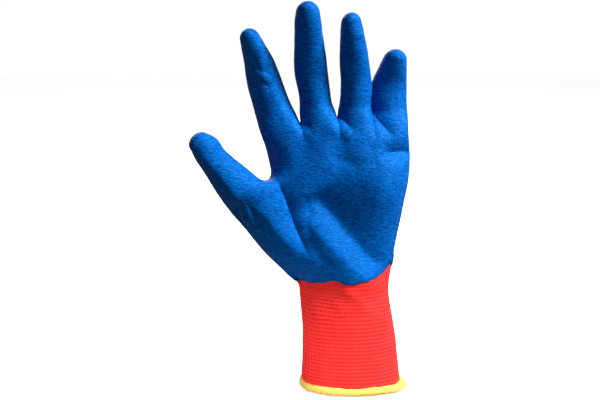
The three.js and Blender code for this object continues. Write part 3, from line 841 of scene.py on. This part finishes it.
def spread(tree, value, low, high, to_low=0.0, to_high=1.0):
    """Maps low..high smoothly to to_low..to_high."""
    node = tree.nodes.new("ShaderNodeMapRange")
    node.interpolation_type = "SMOOTHSTEP"
    for number, socket in zip((low, high, to_low, to_high), list(node.inputs)[1:5]):
        socket.default_value = number
    tree.links.new(value, node.inputs["Value"])
    return node.outputs["Result"]


def blend(tree, share, a, b):
    node = tree.nodes.new("ShaderNodeMix")
    node.data_type = "RGBA"
    connect(tree, share, node.inputs[0])
    connect(tree, a, node.inputs[6])
    connect(tree, b, node.inputs[7])
    return node.outputs[2]


def mark(tree, name):
    node = tree.nodes.new("ShaderNodeAttribute")
    node.attribute_name = name
    return node.outputs["Fac"]


def raise_surface(tree, shader, height, millimetres):
    node = tree.nodes.new("ShaderNodeBump")
    node.inputs["Distance"].default_value = millimetres * MM
    tree.links.new(height, node.inputs["Height"])
    tree.links.new(node.outputs["Normal"], shader.inputs["Normal"])


def stitch_place(tree):
    node = tree.nodes.new("ShaderNodeUVMap")
    node.uv_map = "stitch"
    parts = tree.nodes.new("ShaderNodeSeparateXYZ")
    tree.links.new(node.outputs["UV"], parts.inputs[0])
    return parts.outputs[0], parts.outputs[1]


def twist_of(tree, across, along, across_scale, along_scale):
    """The strands of a yarn, as noise stretched along it."""
    strands = tree.nodes.new("ShaderNodeCombineXYZ")
    tree.links.new(times(tree, across, across_scale), strands.inputs[0])
    tree.links.new(times(tree, along, along_scale), strands.inputs[1])
    return grain(tree, strands.outputs[0], 1.0, 3, 0.6)


def latex_material():
    """Dipped latex: fine crinkles that follow the knit's lines below, with painted light on their tops and
    painted shade in their hollows, and a darker edge.
    """
    material, tree, shader = new_material("crinkle_latex", 0.5, 0.35)
    shader.inputs["Specular Tint"].default_value = (0.02, 0.45, 1.0, 1)
    lines = grain(tree, place_of(tree, (3.6, 3.6, 1)), 0.85, 3, 0.6)
    fine = grain(tree, place_of(tree), 0.6, 2, 0.6, 0.3)
    broad = grain(tree, place_of(tree), 12, 3)
    height = plus(tree, times(tree, lines, 0.75), times(tree, fine, 0.5))
    raise_surface(tree, shader, height, 0.55)
    # The crinkles are coloured lighter on their raised tops and darker in their hollows: painted light and
    # shade.
    crinkle_light_and_shade = spread(tree, height, 0.46, 0.76)
    colour = blend(tree, crinkle_light_and_shade, (0.0, 0.046, 0.25, 1), (0.0, 0.148, 0.58, 1))
    worn = spread(tree, broad, 0.42, 0.66, 0.0, 0.3)
    colour = blend(tree, worn, colour, (0.0, 0.075, 0.36, 1))
    colour = blend(tree, times(tree, mark(tree, "rim"), 0.6), colour, (0.001, 0.03, 0.16, 1))
    tree.links.new(colour, shader.inputs["Base Color"])
    tree.links.new(spread(tree, fine, 0.35, 0.7, 0.6, 0.4), shader.inputs["Roughness"])
    return material


def knit_material(name):
    material, tree, shader = new_material(name, 0.8, 0.12)
    shader.inputs["Sheen Weight"].default_value = 0.06
    shader.inputs["Sheen Roughness"].default_value = 0.5
    return material, tree, shader


def liner_material():
    """Plain knit in fine polyester yarn: columns of V stitches, and the cuff's stitches near it, with
    painted shade in the gaps and holes between the stitches.
    """
    material, tree, shader = knit_material("liner_knit")
    wale, height = stitch_place(tree)
    stitch = calc(tree, "FRACT", times(tree, wale, LINER_WALES))
    leg = calc(tree, "ABSOLUTE", calc(tree, "MULTIPLY_ADD", stitch, 2.0, -1.0))
    course = calc(tree, "MULTIPLY_ADD", height, 1 / LINER_COURSE, times(tree, leg, 0.55))
    bulge = calc(tree, "SINE", times(tree, calc(tree, "FRACT", course), math.pi))
    valley = spread(tree, leg, 0.0, 0.3)
    gap = spread(tree, leg, 1.0, 0.72)
    plain = times(tree, times(tree, valley, gap), bulge)
    course_angle = COURSES / (CUFF_HIGH - CUFF_LOW) * 2 * math.pi
    course = plus(tree, times(tree, height, course_angle), -CUFF_LOW * course_angle)
    groove = spread(tree, calc(tree, "COSINE", course), -0.6, 1.2)
    across = times(tree, wale, 2 * math.pi * WALES / COUNT)
    between = spread(tree, calc(tree, "COSINE", across), -0.6, 1.2)
    dip = times(tree, groove, calc(tree, "MULTIPLY_ADD", between, 0.75, 0.25))
    elastic = calc(tree, "SUBTRACT", 1.0, dip)
    zone = spread(tree, height, ELASTIC_TOP, ELASTIC_TOP - ELASTIC_FADE)
    plain = times(tree, plain, calc(tree, "SUBTRACT", 1.0, zone))
    legs = plus(tree, plain, times(tree, elastic, zone))
    fuzz = grain(tree, place_of(tree), 0.35, 3, 0.7)
    raise_surface(tree, shader, calc(tree, "MULTIPLY_ADD", fuzz, 0.25, legs), 0.4)
    # The yarn is coloured darker in the gaps between the stitch legs and in the elastic knit's holes:
    # painted shade.
    colour = blend(tree, spread(tree, legs, 0.0, 0.5), (0.66, 0.006, 0.005, 1), (0.96, 0.024, 0.02, 1))
    mottle = spread(tree, grain(tree, place_of(tree), 9, 2), 0.35, 0.7, 0.0, 0.25)
    colour = blend(tree, mottle, colour, (0.98, 0.06, 0.05, 1))
    tree.links.new(colour, shader.inputs["Base Color"])
    return material


def cuff_material():
    """Elastic knit: yarn with a painted highlight on the ridges' tops and painted shade in the holes between
    the stitches.
    """
    material, tree, shader = knit_material("cuff_knit")
    wale, course = stitch_place(tree)
    raised = mark(tree, "raised")
    twist = twist_of(tree, wale, course, 1.6, 9.0)
    fuzz = grain(tree, place_of(tree), 0.3, 3, 0.7)
    raise_surface(tree, shader, plus(tree, twist, times(tree, fuzz, 0.5)), 0.16)
    # Dark in the holes between the stitches: painted shade.
    colour = blend(tree, spread(tree, raised, 0.05, 0.6), (0.34, 0.002, 0.002, 1), (0.97, 0.022, 0.019, 1))
    pale = spread(tree, grain(tree, place_of(tree), 11, 2), 0.4, 0.7, 0.0, 0.3)
    colour = blend(tree, pale, colour, (0.97, 0.04, 0.036, 1))
    # Lighter on the ridges' tops: a painted highlight.
    painted_ridge_highlight = spread(tree, raised, 0.75, 1.0, 0.0, 0.5)
    colour = blend(tree, painted_ridge_highlight, colour, (0.98, 0.06, 0.055, 1))
    tree.links.new(colour, shader.inputs["Base Color"])
    return material


def thread_material():
    """Glossy textured yarn wound round the hem, with the red knit peeping through below, and painted shade
    between the wraps and towards the underside.
    """
    material, tree, shader = new_material("hem_thread", 0.6, 0.3)
    wrap, around = stitch_place(tree)
    twist = twist_of(tree, wrap, around, 7.0, 9.0)
    fuzz = grain(tree, place_of(tree), 0.3, 2, 0.6)
    raise_surface(tree, shader, plus(tree, twist, times(tree, fuzz, 0.4)), 0.12)
    raised = mark(tree, "raised")
    low = mark(tree, "under")
    # The thread is coloured darker between the wraps: painted shade.
    colour = blend(tree, spread(tree, raised, 0.0, 0.7), (0.8, 0.3, 0.02, 1), (0.98, 0.72, 0.14, 1))
    # It turns orange towards the underside and dark brown at the lowest edge: painted shade.
    colour = blend(tree, times(tree, low, 0.7), colour, (0.95, 0.46, 0.04, 1))
    edge = spread(tree, low, 0.8, 1.0, 0.0, 0.6)
    colour = blend(tree, edge, colour, (0.5, 0.17, 0.02, 1))
    peep = spread(tree, grain(tree, place_of(tree, (1, 1, 6)), 1.2, 1), 0.54, 0.6)
    gaps = times(tree, spread(tree, raised, 0.92, 0.6), spread(tree, low, 0.1, 0.5))
    colour = blend(tree, times(tree, peep, gaps), colour, (0.66, 0.04, 0.02, 1))
    tree.links.new(colour, shader.inputs["Base Color"])
    return material


# The knit's gauge: the liner's wales for each of the net's columns and its course height, where
# the elastic knit ends above the cuff, and the cuff's wales and courses.
LINER_WALES = 2.2
LINER_COURSE = 1.25
ELASTIC_TOP = 84
ELASTIC_FADE = 6
WALES = 83
WALE_STEPS = 6
COURSES = 26
COURSE_STEPS = 6
CUFF_LOW = 3.0
CUFF_HIGH = CUFF_SECTIONS[-1][0]
LATEX = latex_material()
KNIT = liner_material()
ELASTIC = cuff_material()
THREAD = thread_material()

# The coating: a fine outer sheet, a coarser inner one and a rolled edge between them.
RIM_TURNS = 5
EDGE_OUTSIDE = 0.75
EDGE_REACH = 3.5
EDGE_WANDER = 1.1
EDGE_WANDER_REACH = 3
EDGE_WANDER_PITCH = 6
EDGE_WANDER_SEEDS = (11.3, 23.9, 41.7)
RIM_SHADE_REACH = 1.5
UNDER_SINK = 0.8
UNDER_FROM = 3
UNDER_OVER = 5

coated = COARSE["coated"]
steps = rim_steps(coated)
to_rim = distance_to(surface, [surface[a] for a, _ in steps])
# The dipped edge wanders a little over the knit.
wander = np.stack([noise_at(surface, EDGE_WANDER_PITCH, seed) for seed in EDGE_WANDER_SEEDS], 1)
wander -= normals * (wander * normals).sum(1)[:, None]
surface += wander * EDGE_WANDER * falloff(to_rim, EDGE_WANDER_REACH)[:, None]
lift = lerp(COAT_OUTSIDE, EDGE_OUTSIDE, falloff(to_rim, EDGE_REACH))
covered = np.zeros(len(surface), bool)
covered[FINE["corner"][np.repeat(FINE["coated"], 4)]] = True
sink = UNDER_SINK * covered * smooth((to_rim - UNDER_FROM) / UNDER_OVER)
liner_outside = surface - normals * sink[:, None]
outer = surface + normals * lift[:, None]
inner = liner_outside + normals * COAT_INSIDE
size = len(surface)
lip_points, lip_faces = rolled_rim(surface, normals, steps, size, EDGE_OUTSIDE, COAT_INSIDE, RIM_TURNS)
polygons, stitches = joined(
    fine_faces(coated),
    coarse_faces(coated, edges_of(coated) == 1, inside=True),
    plain_faces(lip_faces))
points = np.concatenate([outer, inner, lip_points])
rim_mark = np.concatenate([falloff(to_rim, RIM_SHADE_REACH), np.ones(size + len(lip_points))])
coating = make_object("latex_skin", points, polygons, stitches, LATEX, {"rim": rim_mark})
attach(coating, "root")
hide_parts("latex_coating")

# The liner: fine where it is bare, coarser under the coating and inside.
is_liner = ~COARSE["cuff"]
bare = is_liner & ~coated
edge_faces = [[b, a, size + a, size + b] for a, b in rim_steps(is_liner)]
polygons, stitches = joined(
    fine_faces(bare),
    coarse_faces(is_liner & coated, edges_of(bare) > 0),
    coarse_faces(is_liner, edges_of(is_liner) == 1, inside=True),
    plain_faces(edge_faces))
points = np.concatenate([liner_outside, liner_outside - normals * KNIT_WALL])
liner = make_object("knit_liner", points, polygons, stitches, KNIT, apart=len(edge_faces))
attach(liner, "root")
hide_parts("hand_body", "index_stall", "middle_stall", "ring_stall", "little_stall", "thumb_stall")

# The cuff's smooth surface as a grid, from the hem up and once round.
SPLITS = 2 ** LEVELS
cuff_heights = np.array([section[0] for section in CUFF_SECTIONS])
grid = np.zeros(((len(CUFF_SECTIONS) - 1) * SPLITS + 1, COUNT * SPLITS, 3))
for at in np.flatnonzero(np.repeat(FINE["cuff"], 4)):
    wale, height = FINE["stitch"][at]
    step = min(int(np.searchsorted(cuff_heights, height, "right")) - 1, len(cuff_heights) - 2)
    part = (height - cuff_heights[step]) / (cuff_heights[step + 1] - cuff_heights[step])
    row = step * SPLITS + round(part * SPLITS)
    column = round(wale * SPLITS) % (COUNT * SPLITS)
    grid[row, column] = surface[FINE["corner"][at]]
grid_heights = np.interp(np.arange(len(grid)) / SPLITS, np.arange(len(cuff_heights)), cuff_heights)


def cuff_point(turn, height):
    """Points of the cuff's smooth surface: turn is the share of a turn, height is along the cuff."""
    row = np.interp(height, grid_heights, np.arange(len(grid)))
    low = np.minimum(row.astype(int), len(grid) - 2)
    t = (row - low)[..., None]
    column = turn * grid.shape[1]
    left = np.floor(column).astype(int)
    s = (column - left)[..., None]
    left %= grid.shape[1]
    right = (left + 1) % grid.shape[1]
    below = lerp(grid[low, left], grid[low, right], s)
    above = lerp(grid[low + 1, left], grid[low + 1, right], s)
    return lerp(below, above, t)


def grid_normals(points):
    around = np.roll(points, -1, 1) - np.roll(points, 1, 1)
    up = np.gradient(points, axis=0)
    out = np.cross(around, up)
    return out / np.linalg.norm(out, axis=2)[..., None]


RIDGE = 0.09
RIDGE_SHARPNESS = 0.7
HOLE = 0.5
HOLE_SHARPNESS = 1.5
STITCH_SWAY = 0.12
FADE_COURSES = 0.5
INSIDE_SHADE = 0.7

turn = np.arange(WALES * WALE_STEPS) / (WALES * WALE_STEPS)
share = np.arange(COURSES * COURSE_STEPS + 1) / (COURSES * COURSE_STEPS)
turns, shares = np.meshgrid(turn, share)
smooth_cuff = cuff_point(turns, CUFF_LOW + (CUFF_HIGH - CUFF_LOW) * shares)
cuff_normals = grid_normals(smooth_cuff)
wale = turns * WALES
course = shares * COURSES
sway = STITCH_SWAY * np.cos(2 * math.pi * wale)
ridge = (0.5 - 0.5 * np.cos(2 * math.pi * (course + sway))) ** RIDGE_SHARPNESS
groove = (0.5 + 0.5 * np.cos(2 * math.pi * course)) ** HOLE_SHARPNESS
hole = groove * (0.5 + 0.5 * np.cos(2 * math.pi * wale)) ** HOLE_SHARPNESS
relief = RIDGE * (ridge - 1) - HOLE * hole
relief *= smooth((1 - shares) * COURSES / FADE_COURSES)
knitted = smooth_cuff + cuff_normals * relief[..., None]
# How raised each point of the cuff is; its material paints shade in the holes and a highlight on the ridges'
# tops from this.
raised = 1 + relief / (RIDGE + HOLE)
height_count, turn_count = knitted.shape[:2]
inside_rows = np.arange(0, height_count, COURSE_STEPS)
inside = (smooth_cuff - cuff_normals * CUFF_WALL)[inside_rows]
points = np.concatenate([knitted.reshape(-1, 3), inside.reshape(-1, 3)])
raised = np.concatenate([raised.ravel(), np.full(inside.size // 3, INSIDE_SHADE)])


def grid_faces(rows, around, steps, first=0, inside=False, closed=False):
    """Faces between the rows of a grid that closes round, and their places in its pattern."""
    quads, places = [], []
    for j in range(rows if closed else rows - 1):
        low = first + j * around
        high = first + (j + 1) % rows * around
        for i in range(around):
            after = (i + 1) % around
            quad = [low + i, low + after, high + after, high + i]
            place = [(i, j), (i + 1, j), (i + 1, j + 1), (i, j + 1)]
            quads.append(quad[::-1] if inside else quad)
            place = [(across / steps[0], up / steps[1]) for across, up in place]
            places.append(place[::-1] if inside else place)
    return quads, places


first_inside = height_count * turn_count
top = first_inside - turn_count
inner_top = first_inside + (len(inside_rows) - 1) * turn_count
edge_faces = []
for i in range(turn_count):
    after = (i + 1) % turn_count
    edge_faces.append([after, i, first_inside + i, first_inside + after])
    edge_faces.append([top + i, top + after, inner_top + after, inner_top + i])
polygons, stitches = joined(
    grid_faces(height_count, turn_count, (WALE_STEPS, COURSE_STEPS)),
    grid_faces(len(inside_rows), turn_count, (WALE_STEPS, 1), first_inside, inside=True),
    plain_faces(edge_faces))
marks = {"raised": raised}
cuff = make_object("cuff_stitches", points, polygons, stitches, ELASTIC, marks, apart=len(edge_faces))
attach(cuff, "root")
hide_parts("knit_cuff")

# The hem: a rounded band over the cuff's edge, wound with thread that is laid a little unevenly.
HEM_WRAPS = 140
HEM_STEPS = 8
HEM_ROUND = 32
HEM_CENTRE = {"out": -0.6, "z": 2.65}
HEM_HALF = {"out": 1.9, "z": 2.6}
HEM_SQUARE = 0.62
FLARE_START = 12
FLARE_OVER = 20
FLARE_OUT = 3.2
FLARE_UP = -1.6
FLARE_THIN = 0.5
WRAP_RELIEF = 0.42
WRAP_SLANT = 1.2
WRAP_SHIFT = 0.5
HEM_WAVE = 0.5
HEM_BUNCH = 0.22
HEM_RAGGED = 0.4
HEM_LOWEST = -0.3

turn = np.arange(HEM_WRAPS * HEM_STEPS) / (HEM_WRAPS * HEM_STEPS)
ring = cuff_point(turn, np.full(len(turn), CUFF_LOW))
tangent = np.roll(ring, -1, 0) - np.roll(ring, 1, 0)
out = np.cross(tangent, np.array([0, 0, 1.0]))
out[:, 2] = 0
out /= np.linalg.norm(out, axis=1)[:, None]
wave = noise_at(ring, pitch=9, seed=3.1) * HEM_WAVE
bunch = noise_at(ring, pitch=3.2, seed=7.7)
ragged = noise_at(ring, pitch=1.3, seed=5.3)
flare = smooth((ring[:, 0] - FLARE_START) / FLARE_OVER) ** 2
angle = np.arange(HEM_ROUND) * 2 * math.pi / HEM_ROUND
hem = np.zeros((HEM_ROUND, len(turn), 3))
wound = np.zeros((HEM_ROUND, len(turn)))
under = np.zeros((HEM_ROUND, len(turn)))
for i, a in enumerate(angle):
    thread = turn * HEM_WRAPS + WRAP_SLANT * math.sin(a) + WRAP_SHIFT * bunch
    wrap = np.sqrt(1 - (2 * (thread % 1) - 1) ** 2)
    low = max(-math.sin(a), 0) ** 2
    grow = WRAP_RELIEF * (wrap - 1) + HEM_BUNCH * bunch + HEM_RAGGED * ragged * low
    # How raised the thread is across each wrap; the thread's material paints shade between the wraps from
    # this.
    wound[i] = wrap
    # How far round towards the hem's underside; the thread's material paints shade there from this.
    under[i] = smooth(0.1 - 1.1 * math.sin(a))
    side = math.copysign(abs(math.cos(a)) ** HEM_SQUARE, math.cos(a))
    rise = math.copysign(abs(math.sin(a)) ** HEM_SQUARE, math.sin(a))
    outward = 0.5 + 0.5 * side
    reach = HEM_CENTRE["out"] + (HEM_HALF["out"] + grow) * side + FLARE_OUT * flare * outward
    tall = (HEM_HALF["z"] + grow) * (1 - FLARE_THIN * flare * outward)
    height = HEM_CENTRE["z"] + tall * rise + wave * (0.5 + 0.5 * rise)
    height += FLARE_UP * flare * outward
    hem[i, :, :2] = ring[:, :2] + out[:, :2] * reach[:, None]
    hem[i, :, 2] = np.maximum(height, HEM_LOWEST)
polygons, stitches = grid_faces(HEM_ROUND, len(turn), (HEM_STEPS, HEM_ROUND), closed=True)
marks = {"raised": wound.ravel(), "under": under.ravel()}
hem_band = make_object("hem_winding", hem.reshape(-1, 3), polygons, stitches, THREAD, marks)
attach(hem_band, "root")
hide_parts("overlock_hem")

# Floor, world, lights and camera.
TARGET = Vector((-0.033, 0.0, 0.121))
CAMERA_DISTANCE = 0.6
CAMERA_ELEVATION = math.radians(10)
FLOOR_SIZE = 8
FLOOR_HEIGHT = -0.0008

bpy.ops.mesh.primitive_plane_add(size=FLOOR_SIZE, location=(0, 0, FLOOR_HEIGHT))
floor = bpy.context.object
floor.name = "floor"
floor_material, _, floor_shader = new_material("pale_floor", 0.9, 0.0)
floor_shader.inputs["Base Color"].default_value = (0.9, 0.9, 0.9, 1)
floor_shader.inputs["Emission Color"].default_value = (1, 1, 1, 1)
floor_shader.inputs["Emission Strength"].default_value = 0.8
floor.data.materials.append(floor_material)
floor.visible_diffuse = False
floor.visible_glossy = False

world = bpy.data.worlds.new("studio")
bpy.context.scene.world = world
world.use_nodes = True
background = world.node_tree.nodes["Background"]
background.inputs["Color"].default_value = (1, 1, 1, 1)
background.inputs["Strength"].default_value = 0.15
show = world.node_tree.nodes.new("ShaderNodeBackground")
show.inputs["Color"].default_value = (1, 1, 1, 1)
path = world.node_tree.nodes.new("ShaderNodeLightPath")
chosen = world.node_tree.nodes.new("ShaderNodeMixShader")
world.node_tree.links.new(path.outputs["Is Camera Ray"], chosen.inputs["Fac"])
world.node_tree.links.new(background.outputs[0], chosen.inputs[1])
world.node_tree.links.new(show.outputs[0], chosen.inputs[2])
world.node_tree.links.new(chosen.outputs[0], world.node_tree.nodes["World Output"].inputs["Surface"])

# Lights: what each points at, from which direction and how far, and its power and shape.
LIGHTS = [
    ("key", "AREA", TARGET, (0.68, -0.27, 0.69), 1.6, 55, {"shape": "DISK", "size": 0.44}),
    ("side_fill", "AREA", TARGET, (0.8, -0.6, -0.1), 1.6, 5, {"shape": "DISK", "size": 0.5}),
    ("back_fill", "AREA", TARGET, (-0.4, 1.0, 0.6), 1.8, 14, {"shape": "DISK", "size": 1.0}),
    ("cuff_fill", "SPOT", (-0.004, 0, 0.031), (-0.78, -0.72, 0.0), 0.9, 24,
     {"spot_size": math.radians(6.2), "spot_blend": 0.15, "shadow_soft_size": 0.05}),
    ("hem_fill", "AREA", (-0.006, -0.022, 0.003), (-0.3, -0.94, 0.05), 0.045, 0.02,
     {"shape": "RECTANGLE", "size": 0.09, "size_y": 0.01}),
]
for name, kind, aim, direction, distance, power, settings in LIGHTS:
    data = bpy.data.lights.new(name, kind)
    data.energy = power
    for setting, value in settings.items():
        setattr(data, setting, value)
    light = add_object(name, data)
    way = Vector(direction).normalized()
    light.location = Vector(aim) + way * distance
    light.rotation_euler = way.to_track_quat("Z", "Y").to_euler()
bpy.data.objects["hem_fill"].visible_camera = False

camera_data = bpy.data.cameras.new("camera")
camera_data.sensor_width = 36
camera_data.lens = 57.6
camera_data.clip_start = 0.01
camera = add_object("camera", camera_data)
away = Vector((0, -math.cos(CAMERA_ELEVATION), math.sin(CAMERA_ELEVATION)))
camera.location = TARGET + away * CAMERA_DISTANCE
camera.rotation_euler = away.to_track_quat("Z", "Y").to_euler()
bpy.context.scene.camera = camera
bpy.context.scene.view_settings.view_transform = "Standard"
